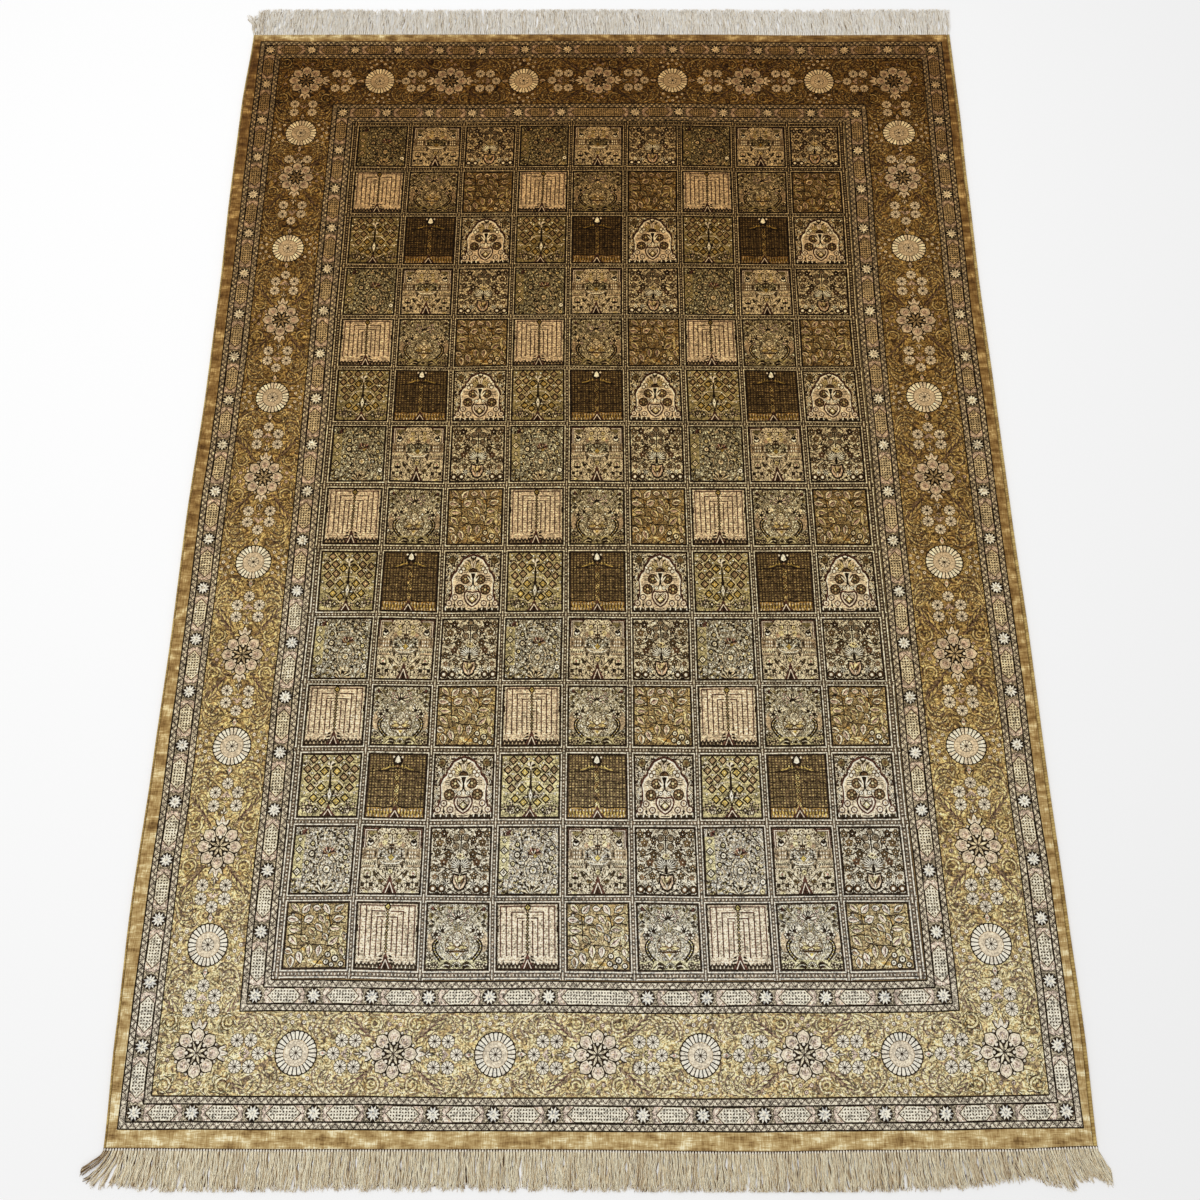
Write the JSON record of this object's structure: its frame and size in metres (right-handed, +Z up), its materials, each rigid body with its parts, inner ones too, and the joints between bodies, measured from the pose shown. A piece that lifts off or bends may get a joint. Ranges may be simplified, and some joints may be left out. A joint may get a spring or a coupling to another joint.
{
  "type": "silk pile rug of woven garden panels with fringed ends",
  "caption": "Flat rectangular pile rug of woven garden panels inside floral borders, with overcast sides and a knotted fringe at each end.",
  "frame": {"origin": "on the ground, under the middle of the box around the rug and its fringes", "axes": "+Y along the rug from its near end to its far end, +X across it to the right, +Z up out of the pile"},
  "size_m": [1.447, 2.132, 0.005],
  "materials": {
    "silk_pile": "clipped silk pile with a soft sheen, light from one end and dark from the other",
    "silk_binding": "overcast silk yarn",
    "warp_knots": "knotted cream warp yarn",
    "warp_fringe": "loosely twisted warp yarn"
  },
  "bodies": {
    "root": {"pile": "silk_pile", "selvedge_left": "silk_binding", "selvedge_right": "silk_binding", "knots_near": "warp_knots", "knots_far": "warp_knots", "fringe_near": "warp_fringe", "fringe_far": "warp_fringe"}
  },
  "joints": []
}
